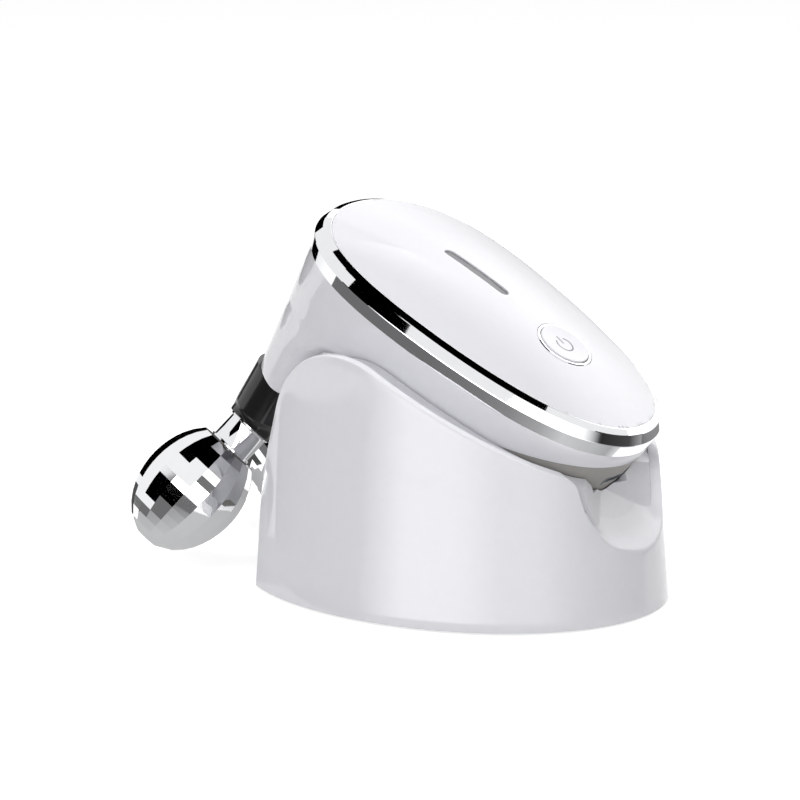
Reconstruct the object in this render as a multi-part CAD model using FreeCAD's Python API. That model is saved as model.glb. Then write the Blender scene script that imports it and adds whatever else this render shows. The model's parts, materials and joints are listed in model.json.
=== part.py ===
"""Palm-size facial roller with two faceted balls, resting in its stand.

World frame: origin at the centre of the stand's underside, +Z up, +X towards the finger notch.
Handset frame: origin at the centre of the face outline, +X along the face towards the notch,
+Z out of the face. The handset leans back in the stand by FACE_TILT about the Y axis.
Lengths are in millimetres, angles in degrees.
"""
import FreeCAD, Part
import math
import os

# Clearances and cutting overrun
FIT_GAP = 0.04          # fixed pieces that locate in one another
SLIDE_GAP = 0.15        # button in its ring
RUN_GAP = 0.05          # bush on axle, radial
SEAT_GAP = 0.4          # handset belly in the cradle
PART_LINE = 0.1         # seam between housing and underside cover
OVERRUN = 2.0           # cutters reach past what they cut

# Place of the handset in the stand
FACE_TILT = 29.4
FACE_X = 12.8
FACE_Z = 71.2

# Face outline: an egg, blunt at the roller end
FACE_HALF_LENGTH = 47.9
FACE_HALF_WIDTH = 29.6
FACE_POWER = 2.09
EGG_SHARE = -0.165
EGG_SQUARE_SHARE = 0.189
OUTLINE_POINTS = 36

# Top cover
DOME_RISE = 5.4
COVER_EDGE = 2.2
COVER_WALL = 2.0
DOME_RING_SHARES = (1.0, 0.9, 0.76, 0.6, 0.44, 0.28, 0.12)

# Chrome bezel, given as steps outwards and downwards from the face edge
BEZEL_LAND = 0.3
BEZEL_TOP_OUT = 1.9
BEZEL_TOP_DROP = 0.95
BEZEL_MID_OUT = 3.2
BEZEL_MID_DROP = 3.35
BEZEL_LOW_OUT = 2.65
BEZEL_HEIGHT = 6.9
BEZEL_LEDGE = 1.4

# Lower housing
HOUSING_OUT = 2.3
HOUSING_WALL = 2.2
HOUSING_RIM_DROP = 2.4
CHIN_FOOT_SETBACK = 5.0
BELLY_DEPTH = 24.0
BELLY_EDGE_RADIUS = 4.0
SADDLE_RADIUS = 14.0
STEM_CORNER = -28.0
STEM_DEPTH = 15.2
STEM_HALF_WIDTH = 21.0
STEM_DROP = 46.8
STEM_BACK_INSET = 1.5
STEM_RUN_BACK = 35.0
STEM_FLOOR = 4.5
STEM_POWER = 3.0
WIDTH_FALL = 1.0
HOUSING_SHARES = (0.0, 0.06, 0.13, 0.22, 0.32, 0.42, 0.54, 0.67, 0.82, 1.0, 1.05)
SEAM_FRONT_DEPTH = 10.3
SEAM_BACK_DEPTH = 25.5
SEAM_BACK = -14.0

# Indicator bar
LIGHT_CENTRE = -9.9
LIGHT_HALF_SPAN = 8.6
LIGHT_HALF_WIDTH = 1.7
LIGHT_RECESS = 0.35
LIGHT_FOOT = 2.2
LAMP_SIZE = 2.8
LAMP_HEIGHT = 1.2

# Power button and its ring
BUTTON_CENTRE = 20.2
RING_RADIUS = 7.6
RING_BAND = 0.85
RING_DEPTH = 2.4
RING_SINK = 0.1
BUTTON_TRAVEL = 0.5
BUTTON_CAP = 2.6
BUTTON_FLANGE = 0.8
BUTTON_FLANGE_LIP = 0.6
BUTTON_STEM_RADIUS = 1.4
BUTTON_DISH_DEPTH = 0.35
BUTTON_PROUD = 0.25
STOP_GAP = 0.25
PRESS_MARGIN = 0.1

# Main board and what it carries
BOARD_INSET = 7.0
BOARD_THICKNESS = 1.6
BOARD_TOP_DEPTH = 4.0
SWITCH_SIZE = 6.0
SWITCH_PLUNGER_RADIUS = 1.7
SWITCH_BODY = 3.4
BATTERY_LENGTH = 30.0
BATTERY_WIDTH = 15.0
BATTERY_THICKNESS = 6.0
BATTERY_CENTRE = 21.0
BATTERY_CORNER = 1.5

# Charging socket in the chin
SOCKET_WIDTH = 7.5
SOCKET_HEIGHT = 2.8
SOCKET_LENGTH = 6.0
SOCKET_MOUTH_WALL = 0.4
SOCKET_MOUTH_DEPTH = 4.0
SOCKET_TONGUE = 0.6
SOCKET_DEPTH = 16.5

# Screws that hold the handset together
POST_FRONT = 37.5
POST_BACK = 4.6
POST_HALF_SPAN = 9.5
POST_RADIUS = 2.6
SCREW_SHANK = 0.9
SCREW_PASS = 1.2
SCREW_HEAD_RADIUS = 2.0
SCREW_HEAD = 1.5
SCREW_SINK = 3.0
SCREW_BITE = 4.0
SCREW_SLOT_WIDTH = 0.6
SCREW_SLOT_DEPTH = 0.5

# Vibration motor in the stem
MOTOR_RADIUS = 4.2
MOTOR_LENGTH = 11.0
MOTOR_SOCKET_WALL = 1.1
MOTOR_SOCKET_HEIGHT = 3.0
SHAFT_RADIUS = 0.6
SHAFT_LENGTH = 5.0
SHAFT_PLAY = 0.3
WEIGHT_RADIUS = 3.6
WEIGHT_LENGTH = 3.4
WEIGHT_FLAT_SHARE = 0.35

# Legs
LEG_HALF_SPAN = 9.5
LEG_SPLAY = 31.5
LEG_LEAN = 3.8
COLLAR_TOP_RADIUS = 7.5
COLLAR_LOW_RADIUS = 6.9
COLLAR_STRAIGHT = 12.61
COLLAR_CHORD = 5.92
COLLAR_STATIONS = 5
STUB_RADIUS = 4.6
STUB_LENGTH = 4.0
NECK_RADIUS = 6.1
NECK_LENGTH = 8.1
NECK_LIP = 0.5
BALL_FACE_GAP = 0.35

# Faceted balls
BALL_LONG_RADIUS = 17.8
BALL_ROUND_RADIUS = 13.7
BALL_FACE = 14.1
BALL_TIP = 17.3
BALL_SIDES = 18
BALL_BANDS = 14
AXLE_RADIUS = 1.5
AXLE_GRIP = 7.0
AXLE_HEAD_RADIUS = 2.5
AXLE_HEAD = 1.5
BUSH_RADIUS = 3.5
BUSH_LENGTH = 13.0
HEAD_PLAY = 0.3
PLUG_RADIUS = 2.8
PLUG_LENGTH = 2.0

# Stand
BASE_HALF_LENGTH = 57.7
BASE_HALF_WIDTH = 44.9
STAND_DRAFT_SHARE = 0.085
STAND_WALL = 2.6
STAND_FOOT_GAP = 0.5
STAND_BACK = 37.2
STAND_BEND_HEIGHT = 27.5
STAND_BEND_RADIUS = 60.0
STAND_BACK_LEAN = 16.6
STAND_RIM_SLOPE = 28.0
STAND_RIM_HEIGHT = 62.3
STAND_SHOULDER_RADIUS = 23.5
STAND_CEILING = 75.0
CRADLE_RECESS = 2.2
CRADLE_WALL = 2.2

# Finger scoop: a pocket that widens from an inner corner to the front wall
SCOOP_CORNER_X = 43.9
SCOOP_CORNER_Z = 30.1
SCOOP_CORNER_HALF_WIDTH = 0.8
SCOOP_CORNER_RADIUS = 0.5
SCOOP_REACH = 18.0
SCOOP_FALL_SHARE = 1.06
SCOOP_SPREAD_SHARE = 1.75
SCOOP_FLARE_SHARE = 0.92
SCOOP_MOUTH_RADIUS = 17.0
SCOOP_CEILING = 62.0
MOUTH_HALF_WIDTH = 19.0
MOUTH_RADIUS = 10.0
SCOOP_BRINK_HALF_WIDTH = 8.0
SCOOP_BRINK_BACK = 7.0
SCOOP_BRINK_RISE = 1.0
SCOOP_WALL_BACK = 1.6
SCOOP_WALL_DOWN = 1.5

# Base plate, ballast, pad and screws
PLATE_THICKNESS = 2.6
PAD_THICKNESS = 1.2
PAD_PROUD = 0.6
PAD_INSET = 12.0
BALLAST_THICKNESS = 5.0
BALLAST_INSET = 12.5
STAND_BOSS_RADIUS = 3.6
STAND_BOSS_HEIGHT = 12.0
STAND_BOSS_SINK = 0.2
STAND_SCREW_LENGTH = 10.0
STAND_SCREW_SHANK = 1.3
STAND_SCREW_PASS = 1.7
STAND_SCREW_HEAD_RADIUS = 2.3
STAND_SCREW_HEAD = 1.4
STAND_BOSS_ANGLES = (42.0, 122.0, 238.0, 318.0)

V = FreeCAD.Vector
UP = V(0, 0, 1)
ACROSS = V(0, 1, 0)
HANDSET = FreeCAD.Placement(V(FACE_X, 0, FACE_Z), FreeCAD.Rotation(ACROSS, FACE_TILT))


def place(shape, placement):
    """A copy of the shape carried into another frame."""
    moved = shape.copy()
    moved.Placement = placement.multiply(shape.Placement)
    return moved


def save(node, shape, placement=None):
    """Write one node's solids, carried into the world frame where a placement is given."""
    solid = place(shape, placement) if placement else shape
    solid.exportStep("parts/" + node + ".step")


def signed_power(value, power):
    """Keep the sign of a number and raise its size to a power."""
    return math.copysign(abs(value) ** power, value)


def egg(angle, half_length, half_width, power, round_share):
    """Point of the egg outline; round_share 1 takes the egg back to an even oval."""
    cos, sin = math.cos(angle), math.sin(angle)
    swell = 1 + (1 - round_share) * (EGG_SHARE * cos + EGG_SQUARE_SHARE * cos * cos)
    along = half_length * signed_power(cos, 2 / power)
    return along, half_width * signed_power(sin, 2 / power) * swell


def closed_curve(points):
    """Smooth closed wire through the points."""
    curve = Part.BSplineCurve()
    curve.interpolate(Points=points, PeriodicFlag=True)
    return Part.Wire(curve.toShape())


def angles():
    """Even angles round an outline, half a step off the axes."""
    step = 2 * math.pi / OUTLINE_POINTS
    return [step * (i + 0.5) for i in range(OUTLINE_POINTS)]


def face_outline(out, height, share=1.0):
    """Face outline stepped outwards by a length, scaled by a share, at a height."""
    points = []
    nudge = math.pi / (OUTLINE_POINTS * OUTLINE_POINTS)
    for angle in angles():
        size = (FACE_HALF_LENGTH, FACE_HALF_WIDTH, FACE_POWER, 0)
        x, y = egg(angle, *size)
        x0, y0 = egg(angle - nudge, *size)
        x1, y1 = egg(angle + nudge, *size)
        run = math.hypot(x1 - x0, y1 - y0)
        x += out * (y1 - y0) / run
        y -= out * (x1 - x0) / run
        points.append(V(x * share, y * share, height))
    return closed_curve(points)


def face_prism(out, low, high):
    """Straight-sided solid on the face outline."""
    return Part.Face(face_outline(out, low)).extrude(UP * (high - low))


def dome_height(share):
    """Height of the domed cover over the face edge, for a share of the way out."""
    return DOME_RISE * (1 - share * share)


def dome_solid(inset, drop):
    """Domed solid inside the face edge, lowered by drop, with a straight edge below it."""
    rings = [face_outline(-inset, dome_height(share) - drop, share) for share in DOME_RING_SHARES]
    return face_prism(-inset, -COVER_EDGE - drop, -drop).fuse(Part.makeLoft(rings, True))


def crossing(point_a, run_a, point_b, run_b):
    """Point where two lines of the stand's side profile meet."""
    turn = run_a.x * run_b.z - run_a.z * run_b.x
    gap = point_b - point_a
    return point_a + run_a * ((gap.x * run_b.z - gap.z * run_b.x) / turn)


def rounded_path(corners, radii):
    """Straight runs joined by tangent arcs, one radius for each inner corner."""
    edges = []
    start = corners[0]
    for before, corner, after, radius in zip(corners, corners[1:], corners[2:], radii):
        back = (before - corner).normalize()
        ahead = (after - corner).normalize()
        half = back.getAngle(ahead) / 2
        reach = radius / math.tan(half)
        first = corner + back * reach
        last = corner + ahead * reach
        middle = corner + (back + ahead).normalize() * (radius / math.sin(half) - radius)
        edges.append(Part.LineSegment(start, first).toShape())
        edges.append(Part.Arc(first, middle, last).toShape())
        start = last
    edges.append(Part.LineSegment(start, corners[-1]).toShape())
    return Part.Wire(edges)


def stem_ends():
    """Front and back points of the stem's lower end, in the handset's middle plane."""
    lean = math.radians(LEG_LEAN)
    back = V(STEM_BACK_INSET - FACE_HALF_LENGTH - HOUSING_OUT, 0, -STEM_DROP)
    return back + V(math.cos(lean), 0, -math.sin(lean)) * STEM_DEPTH, back


def belly_cutter(out):
    """What lies under the belly and in front of the stem, stepped outwards by a length."""
    front, back = stem_ends()
    down = (front - V(STEM_CORNER, 0, -BELLY_DEPTH)).normalize()
    belly = V(0, 0, -BELLY_DEPTH - out)
    stem = front + V(-down.z, 0, down.x) * out
    far = 2 * FACE_HALF_LENGTH
    corner = crossing(belly, V(1, 0, 0), stem, down)
    low = stem + down * far
    path = rounded_path([V(far, 0, belly.z), corner, low], [SADDLE_RADIUS - out])
    closing = Part.makePolygon([low, V(far, 0, low.z), V(far, 0, belly.z)])
    face = Part.Face(Part.Wire(path.Edges + closing.Edges))
    return face.extrude(ACROSS * (2 * far)).translated(V(0, -far, 0))


def front_reach(depth):
    """How far forward the housing reaches at a depth below the bezel: chin, then a run back."""
    chin = CHIN_FOOT_SETBACK * max(0, depth - HOUSING_RIM_DROP) / (BELLY_DEPTH - BEZEL_HEIGHT)
    run_back = max(0, depth + BEZEL_HEIGHT - BELLY_DEPTH) / (STEM_DROP - BELLY_DEPTH)
    return FACE_HALF_LENGTH + HOUSING_OUT - chin - STEM_RUN_BACK * run_back


def housing_solid(out):
    """Palm body and stem: an egg that narrows downwards, its belly and stem front cut flat."""
    wide = FACE_HALF_WIDTH + HOUSING_OUT - STEM_HALF_WIDTH
    drop = STEM_DROP - BEZEL_HEIGHT
    wires = []
    for down in HOUSING_SHARES:
        depth = drop * down
        ahead = front_reach(depth) + out
        behind = STEM_BACK_INSET * down - FACE_HALF_LENGTH - HOUSING_OUT - out
        half_width = STEM_HALF_WIDTH + wide * max(0, 1 - down) ** WIDTH_FALL + out
        power = FACE_POWER + (STEM_POWER - FACE_POWER) * down
        points = []
        for angle in angles():
            along, across = egg(angle, (ahead - behind) / 2, half_width, power, down)
            points.append(V((ahead + behind) / 2 + along, across, -BEZEL_HEIGHT - depth))
        wires.append(closed_curve(points))
    body = Part.makeLoft(wires, True).cut(belly_cutter(out))
    front, back = stem_ends()
    lean = FreeCAD.Placement(back, FreeCAD.Rotation(ACROSS, LEG_LEAN))
    far = 2 * FACE_HALF_LENGTH
    body = body.cut(place(block(2 * far, far, -far, -out), lean))
    return body


def outer_housing():
    """The housing's outside, with the edges of the belly and of the stem's front rounded."""
    body = housing_solid(0)
    cutter = belly_cutter(0)
    edges = []
    for edge in body.Edges:
        middle = edge.valueAt((edge.FirstParameter + edge.LastParameter) / 2)
        if abs(middle.y) > STEM_HALF_WIDTH / 4 and cutter.isInside(middle, FIT_GAP, True):
            edges.append(edge)
    return body.makeFillet(BELLY_EDGE_RADIUS, edges)


def block(length, width, low, high, x=0, y=0):
    """Upright block centred on x and y."""
    return Part.makeBox(length, width, high - low, V(x - length / 2, y - width / 2, low))


def rod(radius, low, high, x=0, y=0):
    """Upright round bar between two heights."""
    return Part.makeCylinder(radius, high - low, V(x, y, low))


def posts():
    """Places of the four housing screws in the handset frame."""
    return [(x, y) for x in (POST_FRONT, POST_BACK) for y in (POST_HALF_SPAN, -POST_HALF_SPAN)]


def below_seam(gap):
    """Everything under the slanted seam between the housing and its underside cover."""
    tail = FACE_HALF_LENGTH + HOUSING_OUT
    far = 2 * FACE_HALF_LENGTH
    fall = (SEAM_BACK_DEPTH - SEAM_FRONT_DEPTH) / (tail - SEAM_BACK)
    high = V(far, 0, (far - tail) * fall - SEAM_FRONT_DEPTH - gap)
    low = V(SEAM_BACK, 0, -SEAM_BACK_DEPTH - gap)
    ring = [high, low, V(SEAM_BACK, 0, -far), V(far, 0, -far), high]
    face = Part.Face(Part.makePolygon(ring))
    return face.extrude(ACROSS * (2 * far)).translated(V(0, -far, 0))


def button_frame():
    """Frame on the dome under the button, with +Z out of the dome."""
    share = BUTTON_CENTRE / FACE_HALF_LENGTH
    slope = 2 * DOME_RISE * share / FACE_HALF_LENGTH
    lean = FreeCAD.Rotation(ACROSS, math.degrees(math.atan(slope)))
    return FreeCAD.Placement(V(BUTTON_CENTRE, 0, dome_height(share)), lean)


def light_slot(gap, low, high):
    """Round-ended bar shape of the indicator light."""
    radius = LIGHT_HALF_WIDTH - gap
    bar = block(2 * LIGHT_HALF_SPAN, 2 * radius, low, high, LIGHT_CENTRE)
    ends = [rod(radius, low, high, LIGHT_CENTRE + side * LIGHT_HALF_SPAN) for side in (1, -1)]
    return bar.multiFuse(ends).removeSplitter()


def top_cover():
    """Domed cover with the light slot, the button hole and four screw posts."""
    outer = dome_solid(FIT_GAP, 0)
    cover = outer.cut(dome_solid(FIT_GAP + COVER_WALL, COVER_WALL))
    pillars = [rod(POST_RADIUS, -BOARD_TOP_DEPTH, DOME_RISE, x, y) for x, y in posts()]
    trim = face_prism(-COVER_WALL - BEZEL_LEDGE, -BOARD_TOP_DEPTH, 0).fuse(outer)
    cover = cover.multiFuse([pillar.common(trim) for pillar in pillars])
    for x, y in posts():
        cover = cover.cut(rod(SCREW_SHANK, -BOARD_TOP_DEPTH, SCREW_BITE - BOARD_TOP_DEPTH, x, y))
    cover = cover.cut(light_slot(0, 0, DOME_RISE + OVERRUN))
    hole = rod(RING_RADIUS + FIT_GAP, -BUTTON_CAP - OVERRUN, OVERRUN)
    return cover.cut(place(hole, button_frame()))


def chrome_bezel():
    """Ring of three slanted bands round the face, with a ledge that carries the cover."""
    bands = [face_outline(BEZEL_LAND, 0),
             face_outline(BEZEL_TOP_OUT, -BEZEL_TOP_DROP),
             face_outline(BEZEL_MID_OUT, -BEZEL_MID_DROP),
             face_outline(BEZEL_LOW_OUT, -BEZEL_HEIGHT)]
    ring = Part.makeLoft(bands, True, True)
    ring = ring.cut(face_prism(0, -COVER_EDGE, OVERRUN))
    return ring.cut(face_prism(-BEZEL_LEDGE, -BEZEL_HEIGHT - OVERRUN, 0))


def indicator_bar():
    """Light guide in the cover's slot, its top following the dome just below the surface."""
    bar = light_slot(FIT_GAP, LIGHT_FOOT, DOME_RISE)
    return bar.common(dome_solid(FIT_GAP, LIGHT_RECESS))


def button_ring():
    """Thin chrome ring round the button."""
    outer = rod(RING_RADIUS, -RING_DEPTH, -RING_SINK)
    ring = outer.cut(rod(RING_RADIUS - RING_BAND, -RING_DEPTH - OVERRUN, OVERRUN))
    top = [edge for edge in ring.Edges if edge.BoundBox.ZMin > -RING_SINK - FIT_GAP]
    return ring.makeChamfer(RING_BAND / 4, [edge for edge in top if edge.isClosed()])


def button_foot():
    """Height of the lower end of the button's stem in the button frame, at rest."""
    switch_top = SWITCH_BODY - BOARD_TOP_DEPTH
    return switch_top - dome_height(BUTTON_CENTRE / FACE_HALF_LENGTH) + BUTTON_TRAVEL + PRESS_MARGIN


def power_button():
    """Dished cap with a stop flange under the ring and a stem down to the switch."""
    radius = RING_RADIUS - RING_BAND - SLIDE_GAP
    flange_top = -RING_DEPTH - STOP_GAP
    cap = rod(radius, flange_top, BUTTON_PROUD)
    rim = [edge for edge in cap.Edges if edge.BoundBox.ZMin > 0 and edge.isClosed()]
    cap = cap.makeFillet(BUTTON_PROUD, rim)
    dish = (radius * radius + BUTTON_DISH_DEPTH * BUTTON_DISH_DEPTH) / (2 * BUTTON_DISH_DEPTH)
    cap = cap.cut(Part.makeSphere(dish, V(0, 0, BUTTON_PROUD + dish - BUTTON_DISH_DEPTH)))
    flange = rod(radius + BUTTON_FLANGE_LIP, flange_top - BUTTON_FLANGE, flange_top)
    stem = rod(BUTTON_STEM_RADIUS, button_foot(), flange_top)
    return cap.multiFuse([flange, stem]).removeSplitter()


def main_board():
    """Circuit board clamped between the cover's posts and the underside cover's posts."""
    board = face_prism(-BOARD_INSET, -BOARD_TOP_DEPTH - BOARD_THICKNESS, -BOARD_TOP_DEPTH)
    for x, y in posts():
        board = board.cut(rod(SCREW_PASS, -BELLY_DEPTH, 0, x, y))
    return board


def switch_place():
    """Where the button's stem meets the board."""
    return button_frame().multVec(V(0, 0, button_foot())).x


def push_switch():
    """Push switch with its round plunger, on the board under the button."""
    top = SWITCH_BODY - BOARD_TOP_DEPTH
    x = switch_place()
    body = block(SWITCH_SIZE, SWITCH_SIZE, -BOARD_TOP_DEPTH, top - SWITCH_PLUNGER_RADIUS / 2, x)
    return body.fuse(rod(SWITCH_PLUNGER_RADIUS, -BOARD_TOP_DEPTH, top, x))


def indicator_lamps():
    """Two lamps on the board under the light bar."""
    high = LAMP_HEIGHT - BOARD_TOP_DEPTH
    places = [LIGHT_CENTRE + side * LIGHT_HALF_SPAN / 2 for side in (1, -1)]
    return Part.makeCompound([block(LAMP_SIZE, LAMP_SIZE, -BOARD_TOP_DEPTH, high, x) for x in places])


def battery():
    """Flat cell taped to the underside of the board."""
    high = -BOARD_TOP_DEPTH - BOARD_THICKNESS
    cell = block(BATTERY_LENGTH, BATTERY_WIDTH, high - BATTERY_THICKNESS, high, BATTERY_CENTRE)
    upright = [edge for edge in cell.Edges if edge.BoundBox.ZLength > BATTERY_THICKNESS / 2]
    return cell.makeFillet(BATTERY_CORNER, upright)


def socket_frame():
    """Frame of the charging socket: +X out of the chin."""
    lean = math.atan2(CHIN_FOOT_SETBACK, BELLY_DEPTH - BEZEL_HEIGHT)
    place_on_chin = V(front_reach(SOCKET_DEPTH - BEZEL_HEIGHT), 0, -SOCKET_DEPTH)
    return FreeCAD.Placement(place_on_chin, FreeCAD.Rotation(ACROSS, math.degrees(lean)))


def socket_block(width, height, back, ahead):
    """Block along the socket's axis, in the socket frame."""
    return Part.makeBox(ahead - back, width, height, V(back, -width / 2, -height / 2))


def charging_socket():
    """Shell of the socket with its tongue, held in the underside cover's chin."""
    width, height = SOCKET_WIDTH - 2 * FIT_GAP, SOCKET_HEIGHT - 2 * FIT_GAP
    shell = socket_block(width, height, -SOCKET_LENGTH, 0)
    mouth = socket_block(width - 2 * SOCKET_MOUTH_WALL, height - 2 * SOCKET_MOUTH_WALL,
                         -SOCKET_MOUTH_DEPTH, OVERRUN)
    tongue = socket_block(width / 2, SOCKET_TONGUE, -SOCKET_MOUTH_DEPTH, -SOCKET_MOUTH_WALL)
    return place(shell.cut(mouth).fuse(tongue), socket_frame())


def stem_frame(side):
    """Frame at the top of a leg: +Z up the leg, on the stem's lower end."""
    front, back = stem_ends()
    middle = (front + back) / 2 + ACROSS * (side * LEG_HALF_SPAN)
    return FreeCAD.Placement(middle, FreeCAD.Rotation(ACROSS, LEG_LEAN))


def lower_housing(skin):
    """Y-shaped housing: palm rim, back, stem floor, motor socket and two leg stubs."""
    floor = STEM_FLOOR - STEM_DROP
    housing = skin.cut(below_seam(0))
    socket = rod(MOTOR_RADIUS + MOTOR_SOCKET_WALL, floor, floor + MOTOR_SOCKET_HEIGHT, motor_place())
    stubs = [place(rod(STUB_RADIUS, -STUB_LENGTH, 0), stem_frame(side)) for side in (1, -1)]
    housing = housing.multiFuse([socket] + stubs)
    return housing.cut(rod(MOTOR_RADIUS + FIT_GAP, floor, 0, motor_place()))


def underside_cover(skin, outer):
    """Grey belly cover with four screw posts that reach up to the board."""
    cover = skin.common(below_seam(PART_LINE))
    high = -BOARD_TOP_DEPTH - BOARD_THICKNESS
    pillars = [rod(POST_RADIUS, -2 * BELLY_DEPTH, high, x, y).common(outer) for x, y in posts()]
    cover = cover.multiFuse(pillars)
    for x, y in posts():
        cover = cover.cut(rod(SCREW_PASS, -2 * BELLY_DEPTH, 0, x, y))
        head_room = rod(SCREW_HEAD_RADIUS + FIT_GAP, -2 * BELLY_DEPTH, SCREW_SINK - BELLY_DEPTH, x, y)
        cover = cover.cut(head_room)
    hole = socket_block(SOCKET_WIDTH, SOCKET_HEIGHT, -SOCKET_LENGTH, OVERRUN)
    return cover.cut(place(hole, socket_frame()))


def screw(shank, head_radius, head, low, high):
    """Pan screw pointing up, its head at the bottom with one driver slot."""
    body = rod(head_radius, low, low + head).fuse(rod(shank, low, high))
    slot = block(2 * head_radius, SCREW_SLOT_WIDTH, low, low + SCREW_SLOT_DEPTH)
    return body.cut(slot)


def housing_screws():
    """Four long screws from the underside cover through the board into the top cover."""
    high = SCREW_BITE - BOARD_TOP_DEPTH - FIT_GAP
    low = SCREW_SINK - BELLY_DEPTH - SCREW_HEAD
    one = screw(SCREW_SHANK - FIT_GAP, SCREW_HEAD_RADIUS, SCREW_HEAD, low, high)
    return Part.makeCompound([one.translated(V(x, y, 0)) for x, y in posts()])


def motor_place():
    """Distance of the motor's axis along the handset."""
    front, back = stem_ends()
    return (front.x + back.x) / 2


def vibration_motor():
    """Can motor standing in its socket, with a bore for the shaft."""
    low = STEM_FLOOR - STEM_DROP
    can = rod(MOTOR_RADIUS, low, low + MOTOR_LENGTH, motor_place())
    return can.cut(rod(SHAFT_RADIUS + RUN_GAP, low + MOTOR_LENGTH / 2, 0, motor_place()))


def motor_shaft():
    """Shaft that turns in the motor and carries the weight."""
    high = STEM_FLOOR - STEM_DROP + MOTOR_LENGTH
    low = high - MOTOR_LENGTH / 2 + SHAFT_PLAY
    return rod(SHAFT_RADIUS, low, high + SHAFT_LENGTH, motor_place())


def eccentric_weight():
    """Weight on the motor's shaft, cut away on one side."""
    low = STEM_FLOOR - STEM_DROP + MOTOR_LENGTH + SHAFT_LENGTH - WEIGHT_LENGTH - SHAFT_PLAY
    disc = rod(WEIGHT_RADIUS, low, low + WEIGHT_LENGTH, motor_place())
    reach = WEIGHT_RADIUS * WEIGHT_FLAT_SHARE
    x = motor_place() + reach + WEIGHT_RADIUS
    away = block(2 * WEIGHT_RADIUS, 2 * WEIGHT_RADIUS, low, low + WEIGHT_LENGTH, x)
    return disc.cut(away).cut(rod(SHAFT_RADIUS, low, low + WEIGHT_LENGTH, motor_place()))


def collar_radius():
    """Radius of the arc that the collar bends through."""
    return COLLAR_CHORD / (2 * math.sin(math.radians(LEG_SPLAY / 2)))


def collar_frame(side, share):
    """Frame on the collar's bent axis, a share of the way down, with +Z back up the leg."""
    turn = math.radians(LEG_SPLAY * share)
    bend = collar_radius()
    point = V(0, side * bend * (1 - math.cos(turn)), -COLLAR_STRAIGHT - bend * math.sin(turn))
    local = FreeCAD.Placement(point, FreeCAD.Rotation(V(1, 0, 0), side * LEG_SPLAY * share))
    return stem_frame(side).multiply(local)


def collar(side):
    """Black collar that bends from the stem out to the roller's axis."""
    frames = [(stem_frame(side), 0)]
    for i in range(COLLAR_STATIONS):
        share = i / (COLLAR_STATIONS - 1)
        frames.append((collar_frame(side, share), share))
    rings = []
    for frame, share in frames:
        radius = COLLAR_TOP_RADIUS + (COLLAR_LOW_RADIUS - COLLAR_TOP_RADIUS) * share
        circle = Part.Circle(V(0, 0, 0), UP, radius).toShape()
        rings.append(place(Part.Wire(circle), frame))
    sleeve = Part.makeLoft(rings, True)
    stub = rod(STUB_RADIUS + FIT_GAP, -STUB_LENGTH - FIT_GAP, OVERRUN)
    sleeve = sleeve.cut(place(stub, stem_frame(side)))
    return sleeve.cut(place(rod(AXLE_RADIUS, -OVERRUN, AXLE_GRIP), collar_frame(side, 1)))


def neck(side):
    """Chrome sleeve on the axle between collar and ball, with a bead at each end."""
    sleeve = rod(NECK_RADIUS - NECK_LIP, BALL_FACE_GAP - NECK_LENGTH, 0)
    for low in (-NECK_LIP, BALL_FACE_GAP - NECK_LENGTH):
        sleeve = sleeve.fuse(rod(NECK_RADIUS, low, low + NECK_LIP))
    sleeve = sleeve.cut(rod(AXLE_RADIUS, -NECK_LENGTH, OVERRUN))
    return place(sleeve.removeSplitter(), collar_frame(side, 1))


def ball_centre():
    """Distance of the ball's centre below the collar, along the roller's axis."""
    return -NECK_LENGTH - BALL_FACE


def axle(side):
    """Headed pin, gripped by the collar, on which the ball turns."""
    head_top = ball_centre() + BALL_FACE - BUSH_LENGTH - HEAD_PLAY
    pin = rod(AXLE_RADIUS, head_top - AXLE_HEAD, AXLE_GRIP)
    head = rod(AXLE_HEAD_RADIUS, head_top - AXLE_HEAD, head_top)
    return place(pin.fuse(head), collar_frame(side, 1))


def ball_bush(side):
    """Plain bush pressed into the ball, running on the axle."""
    high = ball_centre() + BALL_FACE
    bush = rod(BUSH_RADIUS, high - BUSH_LENGTH, high)
    bore = rod(AXLE_RADIUS + RUN_GAP, high - BUSH_LENGTH, high)
    return place(bush.cut(bore), collar_frame(side, 1))


def tip_plug(side):
    """Plug that closes the ball's tip."""
    low = ball_centre() - BALL_TIP
    return place(rod(PLUG_RADIUS, low, low + PLUG_LENGTH), collar_frame(side, 1))


def ball(side):
    """Roller ball cut into flat facets: even bands along the axis, even sides round it."""
    rings = []
    for band in range(BALL_BANDS + 1):
        height = -BALL_TIP + (BALL_FACE + BALL_TIP) * band / BALL_BANDS
        radius = BALL_ROUND_RADIUS * math.sqrt(1 - (height / BALL_LONG_RADIUS) ** 2)
        turns = [2 * math.pi * i / BALL_SIDES for i in range(BALL_SIDES + 1)]
        ring = [V(radius * math.sin(turn), radius * math.cos(turn), height) for turn in turns]
        rings.append(Part.makePolygon(ring))
    gem = Part.makeLoft(rings, True, True)
    bush_low = BALL_FACE - BUSH_LENGTH
    pocket_low = PLUG_LENGTH - BALL_TIP
    gem = gem.cut(rod(BUSH_RADIUS, bush_low, BALL_FACE + OVERRUN))
    gem = gem.cut(rod(PLUG_RADIUS, -BALL_TIP - OVERRUN, bush_low))
    gem = gem.translated(V(0, 0, ball_centre()))
    return place(gem, collar_frame(side, 1))


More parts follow.
